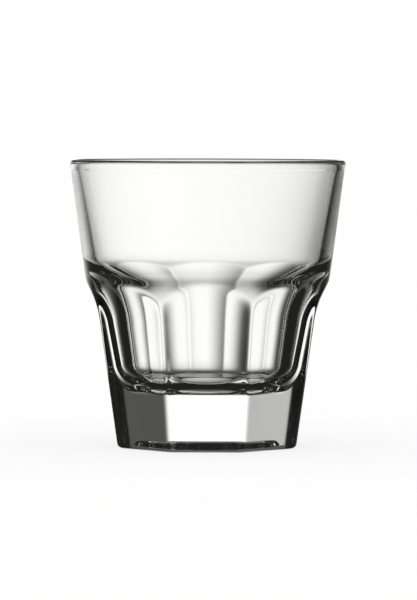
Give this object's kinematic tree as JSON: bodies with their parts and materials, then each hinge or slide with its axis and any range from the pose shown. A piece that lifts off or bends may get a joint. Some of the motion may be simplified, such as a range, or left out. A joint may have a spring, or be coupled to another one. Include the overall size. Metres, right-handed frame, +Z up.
{
  "type": "rocks glass",
  "caption": "Clear pressed tumbler for short drinks: plain flared bowl over a faceted body, a sloping ledge down to a narrower round well inside, and a thick solid base.",
  "frame": {"origin": "centre of the base, in the plane that the glass stands on", "axes": "+Z up along the glass's axis, +X out through the middle of one flat"},
  "size_m": [0.0878, 0.0878, 0.091],
  "materials": {
    "glass": "fire-polished, clear"
  },
  "bodies": {
    "root": {"tumbler": "glass"}
  },
  "joints": []
}
